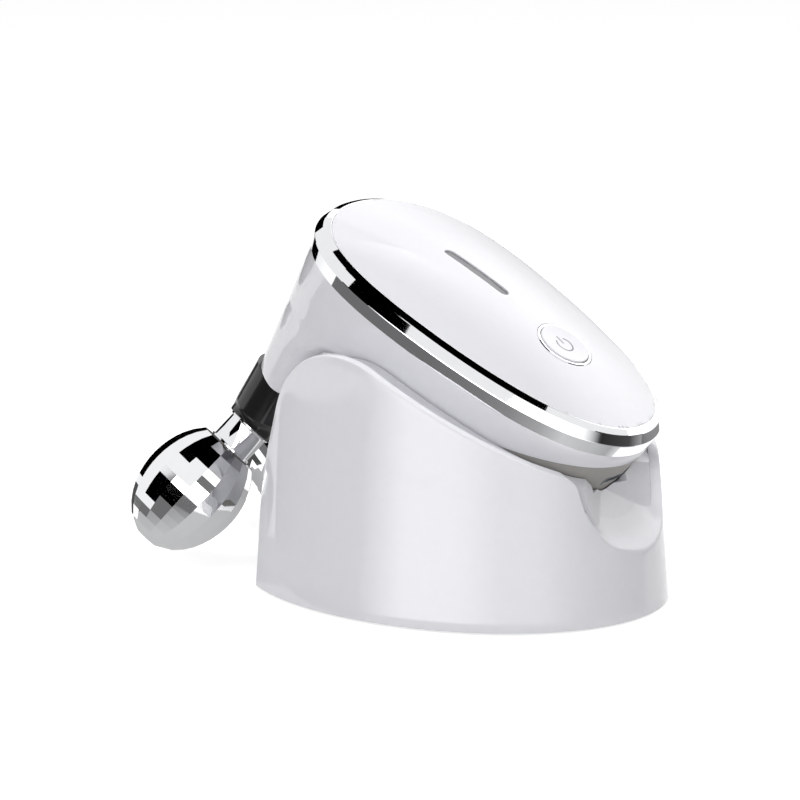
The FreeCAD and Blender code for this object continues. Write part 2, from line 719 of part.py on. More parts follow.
def side_prism(inset):
    """Everything under the stand's side profile, stepped inwards by inset."""
    lean, slope = math.radians(STAND_BACK_LEAN), math.radians(STAND_RIM_SLOPE)
    upright = UP
    leaning = V(math.sin(lean), 0, math.cos(lean))
    falling = V(math.cos(slope), 0, -math.sin(slope))
    back = V(inset - STAND_BACK, 0, 0)
    knee = V(-STAND_BACK, 0, STAND_BEND_HEIGHT) + V(leaning.z, 0, -leaning.x) * inset
    rim = V(0, 0, STAND_RIM_HEIGHT) + V(falling.z, 0, -falling.x) * inset
    bend = crossing(back, upright, knee, leaning)
    shoulder = crossing(knee, leaning, rim, falling)
    front = crossing(rim, falling, V(2 * BASE_HALF_LENGTH, 0, 0), upright)
    low = V(back.x, 0, -STAND_CEILING)
    path = rounded_path([low, bend, shoulder, front],
                        [STAND_BEND_RADIUS - inset, STAND_SHOULDER_RADIUS - inset])
    closing = Part.makePolygon([front, V(front.x, 0, low.z), low])
    face = Part.Face(Part.Wire(path.Edges + closing.Edges))
    return face.extrude(ACROSS * (4 * BASE_HALF_WIDTH)).translated(V(0, -2 * BASE_HALF_WIDTH, 0))


def oval_cone(inset, low, high):
    """Tapered oval solid of the stand, stepped inwards by inset."""
    rings = []
    for z in (low, high):
        taper = inset + STAND_DRAFT_SHARE * z
        oval = Part.Ellipse(V(0, 0, z), BASE_HALF_LENGTH - taper, BASE_HALF_WIDTH - taper)
        rings.append(Part.Wire(oval.toShape()))
    return Part.makeLoft(rings, True, True)


def scoop_section(reach):
    """Opening of the scoop, a distance in front of its inner corner."""
    share = reach / SCOOP_REACH
    x = SCOOP_CORNER_X + reach
    low = SCOOP_CORNER_Z - reach * SCOOP_FALL_SHARE
    half = SCOOP_CORNER_HALF_WIDTH + reach * SCOOP_SPREAD_SHARE
    wide = half + (SCOOP_CEILING - low) * SCOOP_FLARE_SHARE
    radius = SCOOP_CORNER_RADIUS + (SCOOP_MOUTH_RADIUS - SCOOP_CORNER_RADIUS) * share
    corners = [V(x, -wide, SCOOP_CEILING), V(x, -half, low), V(x, half, low), V(x, wide, SCOOP_CEILING)]
    path = rounded_path(corners, [radius / 2, radius / 2])
    closing = Part.LineSegment(corners[-1], corners[0]).toShape()
    return Part.Wire(path.Edges + [closing])


def scoop_pocket():
    """Cutter for the finger scoop."""
    return Part.makeLoft([scoop_section(0), scoop_section(SCOOP_REACH)], True, True)


def mouth_prism(out):
    """Round-cornered opening in the front wall, following the fall of the scoop's floor."""
    x = SCOOP_CORNER_X - OVERRUN
    low = SCOOP_CORNER_Z + OVERRUN * SCOOP_FALL_SHARE - out
    half = MOUTH_HALF_WIDTH + out
    high = 2 * STAND_CEILING
    corners = [V(x, -half, high), V(x, -half, low), V(x, half, low), V(x, half, high)]
    path = rounded_path(corners, [MOUTH_RADIUS + out, MOUTH_RADIUS + out])
    closing = Part.LineSegment(corners[-1], corners[0]).toShape()
    face = Part.Face(Part.Wire(path.Edges + [closing]))
    reach = SCOOP_REACH + OVERRUN
    return face.extrude(V(reach, 0, -reach * SCOOP_FALL_SHARE))


def stand_boss_places():
    """Places of the four stand screws, just inside the wall."""
    inset = STAND_WALL + STAND_BOSS_RADIUS - STAND_BOSS_SINK
    turns = [math.radians(angle) for angle in STAND_BOSS_ANGLES]
    long, wide = BASE_HALF_LENGTH - inset, BASE_HALF_WIDTH - inset
    return [(long * math.cos(turn), wide * math.sin(turn)) for turn in turns]


def plate_top():
    """Height of the base plate's upper face."""
    return PAD_PROUD + PLATE_THICKNESS


def stand_shell():
    """Tapered oval wall, sliced by the side profile and opened by the finger scoop."""
    wall = oval_cone(0, STAND_FOOT_GAP, STAND_CEILING)
    wall = wall.cut(oval_cone(STAND_WALL, -OVERRUN, STAND_CEILING + OVERRUN))
    top = plate_top() + STAND_BOSS_HEIGHT
    bosses = [rod(STAND_BOSS_RADIUS, plate_top(), top, x, y) for x, y in stand_boss_places()]
    wall = wall.multiFuse([boss.common(oval_cone(FIT_GAP, 0, STAND_CEILING)) for boss in bosses])
    wall = wall.common(side_prism(0)).cut(mouth_prism(0))
    for x, y in stand_boss_places():
        wall = wall.cut(rod(STAND_SCREW_SHANK, plate_top(), top - STAND_SCREW_SHANK, x, y))
    return wall


def stand_cradle():
    """Recessed saddle with the handset's trough and the walls of the finger scoop."""
    inside = oval_cone(STAND_WALL + FIT_GAP, plate_top(), STAND_CEILING)
    room = inside.common(side_prism(CRADLE_RECESS))
    sheet = room.cut(side_prism(CRADLE_RECESS + CRADLE_WALL))
    trough = place(housing_solid(SEAT_GAP + CRADLE_WALL), HANDSET).common(room)
    pocket = scoop_pocket()
    scoop = pocket.translated(V(-SCOOP_WALL_BACK, 0, -SCOOP_WALL_DOWN)).common(room)
    frame = mouth_prism(CRADLE_WALL).common(room)
    frame = frame.cut(oval_cone(STAND_WALL + FIT_GAP + CRADLE_WALL, 0, STAND_CEILING))
    cradle = sheet.multiFuse([trough, scoop, frame])
    cradle = cradle.cut(place(housing_solid(SEAT_GAP), HANDSET)).cut(pocket)
    brink = block(2 * SCOOP_REACH, 2 * SCOOP_BRINK_HALF_WIDTH, SCOOP_CORNER_Z + SCOOP_BRINK_RISE,
                  STAND_CEILING, SCOOP_CORNER_X + SCOOP_REACH - SCOOP_BRINK_BACK)
    cradle = cradle.cut(brink)
    for x, y in stand_boss_places():
        cradle = cradle.cut(rod(STAND_BOSS_RADIUS + SEAT_GAP, 0, plate_top() + STAND_BOSS_HEIGHT, x, y))
    return max(cradle.Solids, key=lambda solid: solid.Volume)


def floor_slab(inset, low, high):
    """Flat slab on the stand's plan, stepped inwards by inset."""
    layer = block(4 * BASE_HALF_LENGTH, 4 * BASE_HALF_WIDTH, low, high)
    return oval_cone(inset, 0, STAND_CEILING).common(layer).common(side_prism(inset))


def stand_base_plate():
    """Plate that closes the stand, with a recess for the pad and sunk screw holes."""
    plate = floor_slab(STAND_WALL + FIT_GAP, PAD_PROUD, plate_top())
    plate = plate.cut(floor_slab(PAD_INSET, 0, PAD_THICKNESS))
    for x, y in stand_boss_places():
        plate = plate.cut(rod(STAND_SCREW_PASS, 0, plate_top(), x, y))
        plate = plate.cut(rod(STAND_SCREW_HEAD_RADIUS + FIT_GAP, 0, PAD_PROUD + STAND_SCREW_HEAD, x, y))
    return plate


def stand_screws():
    """Four screws from the base plate up into the shell's bosses."""
    one = screw(STAND_SCREW_SHANK - FIT_GAP, STAND_SCREW_HEAD_RADIUS, STAND_SCREW_HEAD,
                PAD_PROUD, PAD_PROUD + STAND_SCREW_LENGTH)
    return Part.makeCompound([one.translated(V(x, y, 0)) for x, y in stand_boss_places()])


os.makedirs("parts", exist_ok=True)

outer_skin = outer_housing()
above_floor = block(4 * FACE_HALF_LENGTH, 4 * FACE_HALF_WIDTH, STEM_FLOOR - STEM_DROP, 0)
housing_skin = outer_skin.cut(housing_solid(-HOUSING_WALL).common(above_floor))
on_button = HANDSET.multiply(button_frame())

save("top_cover", top_cover(), HANDSET)
save("chrome_bezel", chrome_bezel(), HANDSET)
save("indicator_bar", indicator_bar(), HANDSET)
save("button_ring", button_ring(), on_button)
save("power_button", power_button(), on_button)
save("main_board", main_board(), HANDSET)
save("push_switch", push_switch(), HANDSET)
save("indicator_lamps", indicator_lamps(), HANDSET)
save("battery", battery(), HANDSET)
save("charging_socket", charging_socket(), HANDSET)
save("lower_housing", lower_housing(housing_skin), HANDSET)
save("underside_cover", underside_cover(housing_skin, outer_skin), HANDSET)
save("housing_screws", housing_screws(), HANDSET)
save("vibration_motor", vibration_motor(), HANDSET)
save("motor_shaft", motor_shaft(), HANDSET)
save("eccentric_weight", eccentric_weight(), HANDSET)

for hand, side in (("left", 1), ("right", -1)):
    save(hand + "_collar", collar(side), HANDSET)
    save(hand + "_neck", neck(side), HANDSET)
    save(hand + "_axle", axle(side), HANDSET)
    save(hand + "_ball_bush", ball_bush(side), HANDSET)
    save(hand + "_ball", ball(side), HANDSET)
    save(hand + "_tip_plug", tip_plug(side), HANDSET)

save("stand_shell", stand_shell())
save("stand_cradle", stand_cradle())
save("stand_base_plate", stand_base_plate())
save("stand_ballast", floor_slab(BALLAST_INSET, plate_top(), plate_top() + BALLAST_THICKNESS))
save("stand_pad", floor_slab(PAD_INSET + FIT_GAP, 0, PAD_THICKNESS))
save("stand_screws", stand_screws())
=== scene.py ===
import json
import math

import bmesh
import bpy
import numpy as np
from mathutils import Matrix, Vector


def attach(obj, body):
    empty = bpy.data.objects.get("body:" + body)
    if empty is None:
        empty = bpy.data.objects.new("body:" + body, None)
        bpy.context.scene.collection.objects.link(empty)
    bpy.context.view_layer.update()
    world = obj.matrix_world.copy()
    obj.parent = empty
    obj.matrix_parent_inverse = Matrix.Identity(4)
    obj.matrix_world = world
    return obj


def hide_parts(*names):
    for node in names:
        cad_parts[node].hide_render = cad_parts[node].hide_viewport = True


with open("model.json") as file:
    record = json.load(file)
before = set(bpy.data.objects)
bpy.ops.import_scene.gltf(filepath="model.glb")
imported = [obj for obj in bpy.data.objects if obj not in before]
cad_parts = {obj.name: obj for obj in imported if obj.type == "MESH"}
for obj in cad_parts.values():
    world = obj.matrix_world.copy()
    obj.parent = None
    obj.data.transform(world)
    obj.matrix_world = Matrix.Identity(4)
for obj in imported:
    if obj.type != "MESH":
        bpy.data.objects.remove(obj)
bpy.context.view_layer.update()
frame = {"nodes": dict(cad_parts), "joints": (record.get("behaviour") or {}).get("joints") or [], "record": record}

# Stand pad: a die-cut silicone sheet, glued into a shallow recess under the stand so that it
# grips the shelf. Lengths here and below are in millimetres, and MM turns them into metres.
MM = 0.001
GRAIN_DETAIL, COPY_MERGE, SOFT_CREASE = 3.0, 0.001, 30


def srgb(code):
    """Linear colour of an sRGB hex value: a channel above 0.04045 becomes ((c + 0.055) / 1.055) ^ 2.4,
    a darker one c / 12.92."""
    channels = np.array([int(code[start:start + 2], 16) for start in (1, 3, 5)]) / 255
    linear = np.where(channels > 0.04045, ((channels + 0.055) / 1.055) ** 2.4, channels / 12.92)
    return (*linear.tolist(), 1.0)


def add_node(material, kind, inputs=None, **settings):
    """Add one shader node; an input takes either a plain value or another node's output socket."""
    node = material.node_tree.nodes.new(kind)
    for name, value in settings.items():
        setattr(node, name, value)
    for name, value in (inputs or {}).items():
        if isinstance(value, bpy.types.NodeSocket):
            material.node_tree.links.new(value, node.inputs[name])
        else:
            node.inputs[name].default_value = value
    return node


def finish_of(name, colour, shade, roughness, grain_mm, grain_depth_mm, **sockets):
    """A surface with fine grain: noise of one real size moves the colour between two close tones,
    moves the roughness between two values and lifts a bump of a real depth. Grain that is really too
    fine to show, as on satin, eroded or turned surfaces, is drawn at 0.4 to 1.2 mm."""
    material = bpy.data.materials.new(name)
    material.use_nodes = True
    surface = material.node_tree.nodes["Principled BSDF"]
    place = add_node(material, "ShaderNodeTexCoord").outputs["Object"]
    grain = add_node(material, "ShaderNodeTexNoise", {"Vector": place, "Scale": 1 / (grain_mm * MM),
                                                      "Detail": GRAIN_DETAIL}).outputs["Fac"]
    tone = add_node(material, "ShaderNodeMix", {0: grain, 6: srgb(colour), 7: srgb(shade)},
                    data_type="RGBA")
    sheen = add_node(material, "ShaderNodeMapRange", {"Value": grain, "To Min": roughness[0],
                                                      "To Max": roughness[1]})
    bump = add_node(material, "ShaderNodeBump", {"Height": grain, "Distance": grain_depth_mm * MM,
                                                 "Strength": 1.0})
    links = material.node_tree.links
    links.new(tone.outputs[2], surface.inputs["Base Color"])
    links.new(sheen.outputs["Result"], surface.inputs["Roughness"])
    links.new(bump.outputs["Normal"], surface.inputs["Normal"])
    for socket, value in sockets.items():
        surface.inputs[socket].default_value = value
    return material


body_of = {node: body for body, nodes in frame["record"]["behaviour"]["bodies"].items()
           for node in nodes}


def fix(piece, *nodes):
    """Let a finished piece ride on its body and stand for the solids it shows."""
    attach(piece, body_of[nodes[0]])
    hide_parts(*nodes)


def dress(node, material, crease=SOFT_CREASE, name=None):
    """Show a solid by a copy of its mesh: corners merged, edges flatter than the crease smooth."""
    mesh = frame["nodes"][node].data.copy()
    work = bmesh.new()
    work.from_mesh(mesh)
    bmesh.ops.remove_doubles(work, verts=work.verts, dist=COPY_MERGE * MM)
    work.to_mesh(mesh)
    work.free()
    if "custom_normal" in mesh.attributes:
        mesh.attributes.remove(mesh.attributes["custom_normal"])
    mesh.materials.clear()
    mesh.materials.append(material)
    mesh.polygons.foreach_set("material_index", np.zeros(len(mesh.polygons), np.int32))
    mesh.polygons.foreach_set("use_smooth", np.ones(len(mesh.polygons), bool))
    mesh.set_sharp_from_angle(angle=math.radians(crease))
    piece = bpy.data.objects.new(name or node.replace("_", "-"), mesh)
    bpy.context.scene.collection.objects.link(piece)
    fix(piece, node)


# Moulded against a matt plate: pale grey with no clear highlight, only a dull, even bloom.
silicone = finish_of("silicone, matt moulded", "#C4C4C6", "#BBBBBE", (0.6, 0.75), 0.6, 0.01)
dress("stand_pad", silicone)

# Base plate: grey ABS, moulded with a fine spark-eroded grain. It closes the stand from below and
# carries a steel ballast plate; four screws hold it to the shell's bosses.

# The eroded tool leaves a matt, slightly warm grey with a fine grit.
grey_abs = finish_of("grey ABS, spark-eroded", "#A9A6A2", "#9E9B97", (0.45, 0.6), 0.5, 0.012)
# Zinc plate is a cool metal grey with a soft, cloudy reflection.
zinc_steel = finish_of("steel, zinc plated", "#B9BBBE", "#A6A8AB", (0.25, 0.4), 0.8, 0.003, Metallic=1.0)
dress("stand_base_plate", grey_abs)
dress("stand_ballast", zinc_steel)
dress("stand_screws", zinc_steel)

# Stand shell: white ABS, moulded in a polished tool. An oval tapered wall, sliced by a slanted rim
# that rolls down into an upright back, with a round-cornered mouth for finger and thumb in front.
SHELL_LONG, SHELL_WIDE, SHELL_DRAFT = 57.7, 44.9, 0.085
SHELL_WALL, SHELL_FOOT = 2.6, 0.5
SHELL_BACK, SHELL_BEND_HEIGHT, SHELL_BEND_RADIUS, SHELL_LEAN = -37.2, 27.5, 60.0, 16.6
SHELL_RIM_HEIGHT, SHELL_RIM_SLOPE, SHELL_SHOULDER_RADIUS = 62.3, 28.0, 23.5
MOUTH_HALF_WIDTH, MOUTH_RADIUS, MOUTH_CORNER = 19.0, 10.0, 3.0
SCOOP_X, SCOOP_Z, SCOOP_FALL = 43.9, 30.1, 1.06
LIP_RADIUS, LIP_LARGEST_SHARE, SHELL_CREASE = 0.6, 0.8, 40
LINE_SPACING, ARC_LEAST, RUN_LEAST = 0.5, 4, 2
RIM_POINTS, WALL_ROWS, LIP_ROWS, MOUTH_CORNER_POINTS, MOUTH_STEPS = 260, 18, 6, 9, 30
GRID_MERGE, TINY = 0.002, 1e-9

# A cool white with sharp, faint reflections; slow waves of orange peel keep them from being perfect.
white_abs = finish_of("white ABS, polished tool", "#E9E9ED", "#E5E5EA", (0.03, 0.06), 2.5, 0.0008, IOR=1.53)


def put_mesh(name, points, quads, material, crease=SOFT_CREASE):
    """Mesh from an array of points in millimetres and an array of quads, smooth below the crease."""
    mesh = bpy.data.meshes.new(name)
    mesh.from_pydata((np.asarray(points).reshape(-1, 3) * MM).tolist(), [], quads.tolist())
    work = bmesh.new()
    work.from_mesh(mesh)
    bmesh.ops.remove_doubles(work, verts=work.verts, dist=GRID_MERGE * MM)
    bmesh.ops.recalc_face_normals(work, faces=work.faces)
    work.to_mesh(mesh)
    work.free()
    mesh.materials.append(material)
    mesh.polygons.foreach_set("use_smooth", np.ones(len(mesh.polygons), bool))
    mesh.set_sharp_from_angle(angle=math.radians(crease))
    piece = bpy.data.objects.new(name, mesh)
    bpy.context.scene.collection.objects.link(piece)
    return piece


def grid_quads(rows, columns, close_rows=False, close_columns=False):
    """Quads of a grid of rows by columns, joined round where asked: each takes a point, the next one
    in its row, and the same two of the next row."""
    row = np.arange(rows if close_rows else rows - 1)[:, None]
    column = np.arange(columns if close_columns else columns - 1)[None, :]
    next_row, next_column = (row + 1) % rows, (column + 1) % columns
    corners = (row * columns + column, row * columns + next_column,
               next_row * columns + next_column, next_row * columns + column)
    return np.stack(corners, -1).reshape(-1, 4)


def unit(vectors):
    """Vectors of length one, along the last axis."""
    return vectors / np.linalg.norm(vectors, axis=-1, keepdims=True)


def rounded_line(corners, radii):
    """Points along straight runs joined by arcs: at each inner corner the arc leaves the first run
    a radius / tan(half the corner's angle) before the corner and joins the second as far past it."""
    corners = np.array(corners, float)
    points, start = [], corners[0]
    for before, corner, after, radius in zip(corners, corners[1:], corners[2:], radii):
        back, ahead = unit(before - corner), unit(after - corner)
        half = math.acos(np.clip(back @ ahead, -1, 1)) / 2
        first = corner + back * radius / math.tan(half)
        centre = corner + unit(back + ahead) * radius / math.sin(half)
        bend = math.pi - 2 * half
        turn = np.linspace(0, bend, max(ARC_LEAST, int(radius * bend / LINE_SPACING)))[:, None]
        arc = centre + np.cos(turn) * (first - centre) - np.sin(turn) * back * radius
        count = max(RUN_LEAST, int(np.linalg.norm(first - start) / LINE_SPACING))
        points += [np.linspace(start, first, count, endpoint=False), arc[:-1]]
        start = arc[-1]
    count = max(RUN_LEAST, int(np.linalg.norm(corners[-1] - start) / LINE_SPACING))
    return np.concatenate([*points, np.linspace(start, corners[-1], count)])


def on_wall(turn, height, inset):
    """Point of the tapered oval wall: both half-axes shrink by the draft times the height."""
    taper = inset + SHELL_DRAFT * height
    return np.stack([(SHELL_LONG - taper) * np.cos(turn), (SHELL_WIDE - taper) * np.sin(turn), height], -1)


def on_mouth(across, up, inset):
    """x and height of a point of the mouth, from its width across and its height over the floor. The
    oval gives x at a height and the floor falls forwards with x, so a few steps settle the two."""
    height = np.full(np.shape(across), SCOOP_Z)
    for _ in range(MOUTH_STEPS):
        taper = inset + SHELL_DRAFT * height
        x = (SHELL_LONG - taper) * np.sqrt(np.clip(1 - (across / (SHELL_WIDE - taper)) ** 2, 0, 1))
        height = SCOOP_Z - SCOOP_FALL * (x - SCOOP_X) + up
    return x, height


def rim_length(turn, height):
    """Distance along a line on the wall, a turn being measured on the oval's mean radius."""
    mean = (SHELL_LONG + SHELL_WIDE) / 2
    return np.concatenate([[0], np.cumsum(np.hypot(np.diff(turn) * mean, np.diff(height)))])


def eased_rim(turn, height, corner):
    """Rim line with one corner replaced by a parabola between two marks, laid out in even steps."""
    length = rim_length(turn, height)
    marks = length[corner] + MOUTH_CORNER * np.array([-1, 0, 1])
    share = np.linspace(0, 1, MOUTH_CORNER_POINTS)[1:-1]
    weights = np.stack([(1 - share) ** 2, 2 * share * (1 - share), share ** 2], -1)
    low, high = length < marks[0], length > marks[2]
    turn, height = [np.concatenate([line[low], weights @ np.interp(marks, length, line), line[high]])
                    for line in (turn, height)]
    length = rim_length(turn, height)
    even = np.linspace(0, length[-1], RIM_POINTS)
    return np.interp(even, length, turn), np.interp(even, length, height), even / length[-1]


def rim_half(inset):
    """Turn and height of the rim on one side, from the foot of the back edge to the middle of the mouth.
    The side profile gives x and height, and x = (half-length - taper) cos(turn) gives the turn; in the
    mouth the width across is given instead, and width = (half-width - taper) sin(turn)."""
    lean, slope = math.tan(math.radians(SHELL_LEAN)), math.tan(math.radians(SHELL_RIM_SLOPE))
    shoulder_x = ((SHELL_RIM_HEIGHT - SHELL_BEND_HEIGHT) * lean + SHELL_BACK) / (1 + slope * lean)
    side = rounded_line([(SHELL_BACK, SHELL_FOOT), (SHELL_BACK, SHELL_BEND_HEIGHT),
                         (shoulder_x, SHELL_RIM_HEIGHT - shoulder_x * slope),
                         (SHELL_LONG, SHELL_RIM_HEIGHT - SHELL_LONG * slope)],
                        [SHELL_BEND_RADIUS, SHELL_SHOULDER_RADIUS])
    taper = inset + SHELL_DRAFT * side[:, 1]
    cos = np.clip(side[:, 0] / (SHELL_LONG - taper), -1, 1)
    beside = (SHELL_WIDE - taper) * np.sqrt(1 - cos ** 2) > MOUTH_HALF_WIDTH
    beside &= np.cumsum(~beside) == 0
    side_turn, side_height = np.arccos(cos[beside]), side[beside, 1]
    mouth = rounded_line([(MOUTH_HALF_WIDTH, side_height[-1]), (MOUTH_HALF_WIDTH, 0), (0, 0)],
                         [MOUTH_RADIUS])
    height = on_mouth(*mouth.T, inset)[1]
    inside = height < side_height[-1]
    mouth_turn = np.arcsin(mouth[inside, 0] / (SHELL_WIDE - inset - SHELL_DRAFT * height[inside]))
    return eased_rim(np.concatenate([side_turn, mouth_turn]), np.concatenate([side_height, height[inside]]),
                     len(side_turn) - 1)


def wall_rim(inset):
    """The whole rim, one half and its mirror image, and the turn of the foot below each of its points,
    which falls evenly along the rim from the back edge's turn to zero in the middle of the mouth."""
    turn, height, share = rim_half(inset)
    foot = turn[0] * (1 - share)
    turn = np.concatenate([turn, -turn[-2::-1]])
    foot = np.concatenate([foot, -foot[-2::-1]])
    return turn, foot, np.concatenate([height, height[-2::-1]])


def shell_section():
    """Loop across the wall for each rim point: up the outside, over a rounded lip, down the inside."""
    rise = np.linspace(0, 1, WALL_ROWS)[:, None]
    sides = []
    for inset in (0, SHELL_WALL):
        turn, foot, height = wall_rim(inset)
        column_height = SHELL_FOOT + rise * (height - SHELL_FOOT)
        sides.append(on_wall(foot + rise * (turn - foot), column_height, inset))
    outer, inner = sides
    along = unit(inner[-1] - outer[-1])
    ease = np.linspace(0, math.pi / 2, LIP_ROWS)[:, None, None]
    rows = []
    for side, step in ((outer, along), (inner, -along)):
        down = side[-2] - side[-1]
        span = np.linalg.norm(down, axis=-1, keepdims=True) + TINY
        radius = np.minimum(LIP_RADIUS, span * LIP_LARGEST_SHARE)
        lip = side[-1] + radius * (down / span * (1 - np.sin(ease)) + step * (1 - np.cos(ease)))
        rows.append(np.concatenate([side[:-1], lip]))
    return np.concatenate([rows[0], rows[1][::-1]])


shell_points = shell_section()
shell_quads = grid_quads(*shell_points.shape[:2], close_rows=True)
fix(put_mesh("stand-shell", shell_points, shell_quads, white_abs, SHELL_CREASE), "stand_shell")

# Stand cradle: a white ABS inner moulding, set into the shell from below. Its saddle is sunk
# below the rim, a trough in it fits the handset's belly, and its front end forms the finger scoop.
# Its flange laps over the shell's lip in the mouth, so that scoop and wall meet in one crisp edge.
LAP_TOP, LAP_CREASE = 5.5, 40
LAP_INSETS, LAP_LIFTS = (-0.03, -0.03, 0.2, 1.5, 3.0, 6.0), (-0.8, -0.05, 0.15, 0.15, 0.15, 0.15)

# Close to the shell's white, but from a satin tool: its reflections are broad and dim.
cradle_abs = finish_of("white ABS, satin tool", "#E6E6EA", "#E0E0E5", (0.2, 0.3), 1.2, 0.003, IOR=1.53)
dress("stand_cradle", cradle_abs)


def mouth_lap():
    """Flange over the lip: the mouth's U of floor and round corners, carried inwards from the wall's
    face by a row of insets and lifts."""
    half = rounded_line([(MOUTH_HALF_WIDTH, 2 * MOUTH_RADIUS), (MOUTH_HALF_WIDTH, 0), (0, 0)],
                        [MOUTH_RADIUS])
    half = half[half[:, 1] < LAP_TOP]
    across, up = np.concatenate([half, half[-2::-1] * (-1, 1)]).T
    inset, lift = np.array(LAP_INSETS)[:, None], np.array(LAP_LIFTS)[:, None]
    across = across - np.sign(across) * np.clip(lift, 0, None) * (up / MOUTH_RADIUS)
    x, height = on_mouth(across, up + lift, inset)
    return np.stack([x, across, height], -1)


lap_points = mouth_lap()
lap = put_mesh("mouth-lap", lap_points, grid_quads(*lap_points.shape[:2]), white_abs, LAP_CREASE)
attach(lap, body_of["stand_cradle"])

# Inside the handset: a glass-fibre board with switch and lamps, a wrapped flat cell, a steel plug
# socket, a can motor with an off-centre brass weight, and the long screws that hold it together.

# Green lacquer over the board's weave, half glossy.
board_mask = finish_of("solder mask on glass fibre", "#1E5A37", "#184C2E", (0.3, 0.45), 1.5, 0.004)
# Shrunk film: an even blue with slow waves in its gloss.
cell_wrap = finish_of("shrink wrap, printed blue", "#3D62A0", "#345692", (0.2, 0.35), 3.0, 0.01)
# Moulded nylon: near black and dull.
black_nylon = finish_of("black nylon, moulded", "#161617", "#1D1D1F", (0.35, 0.5), 0.8, 0.004)
# Cast epoxy: a clean pale yellow with a bright gloss.
lamp_epoxy = finish_of("lamp epoxy, pale yellow", "#E9E4C4", "#DDD7B2", (0.1, 0.2), 1.0, 0.002)
# Turned brass: warm metal, its reflections drawn soft by the tool marks.
turned_brass = finish_of("brass, turned", "#C9A659", "#B8954A", (0.2, 0.35), 0.6, 0.003, Metallic=1.0)
dress("battery", cell_wrap, name="battery-cell")
for node, material in (("main_board", board_mask), ("push_switch", black_nylon),
                       ("indicator_lamps", lamp_epoxy), ("charging_socket", zinc_steel),
                       ("vibration_motor", zinc_steel), ("motor_shaft", zinc_steel),
                       ("eccentric_weight", turned_brass), ("housing_screws", zinc_steel)):
    dress(node, material)

# Lower housing: glossy white ABS, one moulding with the palm body's sides, the back and the stem
# that the two legs plug into. The bezel clamps on its upper edge.
dress("lower_housing", white_abs)

# Underside cover: a grey ABS lid under the belly, up to the chin, moulded with the base plate's matt
# grain. The housing screws hold it.
dress("underside_cover", grey_abs)

# Chrome bezel: ABS plated with copper, nickel and chrome. Three slanted bands meet in crisp edges all
# round the face, and an inner ledge carries the cover.
FACE_TILT, FACE_X, FACE_Z = math.radians(29.4), 12.8, 71.2
FACE_LONG, FACE_WIDE, FACE_POWER = 47.9, 29.6, 2.09
EGG_SHARE, EGG_SQUARE_SHARE, EGG_NUDGE, FACE_POINTS = -0.165, 0.189, 1e-3, 480
# Each corner of the bezel's section: how far out from the face's outline, and how high over it.
BEZEL_BANDS = ((-1.4, -6.9), (-1.4, -2.2), (0.0, -2.2), (0.0, 0.0), (0.3, 0.0), (1.9, -0.95),
               (3.2, -3.35), (2.65, -6.9))
BEZEL_EDGE, BEZEL_CREASE = 0.1, 12

# Chrome on polished nickel: a cool mirror that shows the studio's cards as hard black and white bands.
chrome = finish_of("chrome plate, mirror", "#EDEEF0", "#E7E8EA", (0.02, 0.05), 4.0, 0.0004, Metallic=1.0)


def leaned(points, lean, place):
    """Carry points (along, across, out) into the stand's frame: turn by the lean about the Y axis, then
    shift to a place."""
    along, across, out = np.moveaxis(np.asarray(points, float), -1, 0)
    x = along * math.cos(lean) + out * math.sin(lean)
    z = out * math.cos(lean) - along * math.sin(lean)
    return np.stack([x, across, z], -1) + place


def in_stand(points):
    """Carry handset points into the stand's frame: the face's tilt, and its centre."""
    return leaned(points, FACE_TILT, (FACE_X, 0, FACE_Z))


def egg(turn):
    """Face outline: a superellipse whose width swells by a share of cos and of cos squared."""
    cos, sin = np.cos(turn), np.sin(turn)
    along = FACE_LONG * np.sign(cos) * np.abs(cos) ** (2 / FACE_POWER)
    swell = 1 + EGG_SHARE * cos + EGG_SQUARE_SHARE * cos ** 2
    return along, FACE_WIDE * np.sign(sin) * np.abs(sin) ** (2 / FACE_POWER) * swell


def egg_ring(turn, out):
    """Face outline stepped outwards along its normal, found from the run between nearby points."""
    (x, y), (x0, y0), (x1, y1) = egg(turn), egg(turn - EGG_NUDGE), egg(turn + EGG_NUDGE)
    run = np.hypot(x1 - x0, y1 - y0)
    return x + out * (y1 - y0) / run, y - out * (x1 - x0) / run


def eased(profile, edge):
    """Closed profile with each corner cut back to two points, one edge length to either side."""
    corners = np.array(profile)
    before, after = (edge * unit(np.roll(corners, shift, 0) - corners) for shift in (1, -1))
    return np.stack([corners + before, corners + after], 1).reshape(-1, 2)


bezel_turn = (np.arange(FACE_POINTS) + 0.5) * 2 * math.pi / FACE_POINTS
bezel_rings = [np.stack([*egg_ring(bezel_turn, out), np.full(FACE_POINTS, drop)], -1)
               for out, drop in eased(BEZEL_BANDS, BEZEL_EDGE)]
bezel_quads = grid_quads(len(bezel_rings), FACE_POINTS, True, True)
bezel = put_mesh("chrome-bezel", in_stand(bezel_rings), bezel_quads, chrome, BEZEL_CREASE)
fix(bezel, "chrome_bezel")

# Top cover: glossy white ABS dome with a slot for the light bar and a round hole for the button.
# It drops into the bezel and is pulled down by the housing screws.
DOME_RISE, COVER_GAP, COVER_EDGE, COVER_HOLE_WALL = 5.4, 0.04, 2.2, 1.2
LIGHT_CENTRE, LIGHT_HALF_SPAN, LIGHT_HALF_WIDTH = -9.9, 8.6, 1.7
BUTTON_CENTRE, BUTTON_HOLE = 20.2, 7.64
COVER_SPLIT, COVER_SOFT_EDGE, COVER_SOFT_SHARE, COVER_CREASE = 6.5, 0.15, 0.3, 40
OUTLINE_HALF, SPLIT_RAYS, EDGE_RAYS, COVER_ROWS, COVER_BUNCH = 2000, 121, 361, 31, 1.5

outline_turn = np.linspace(-math.pi, math.pi, 2 * OUTLINE_HALF + 1)
outline_x, outline_y = egg_ring(outline_turn, -COVER_GAP)


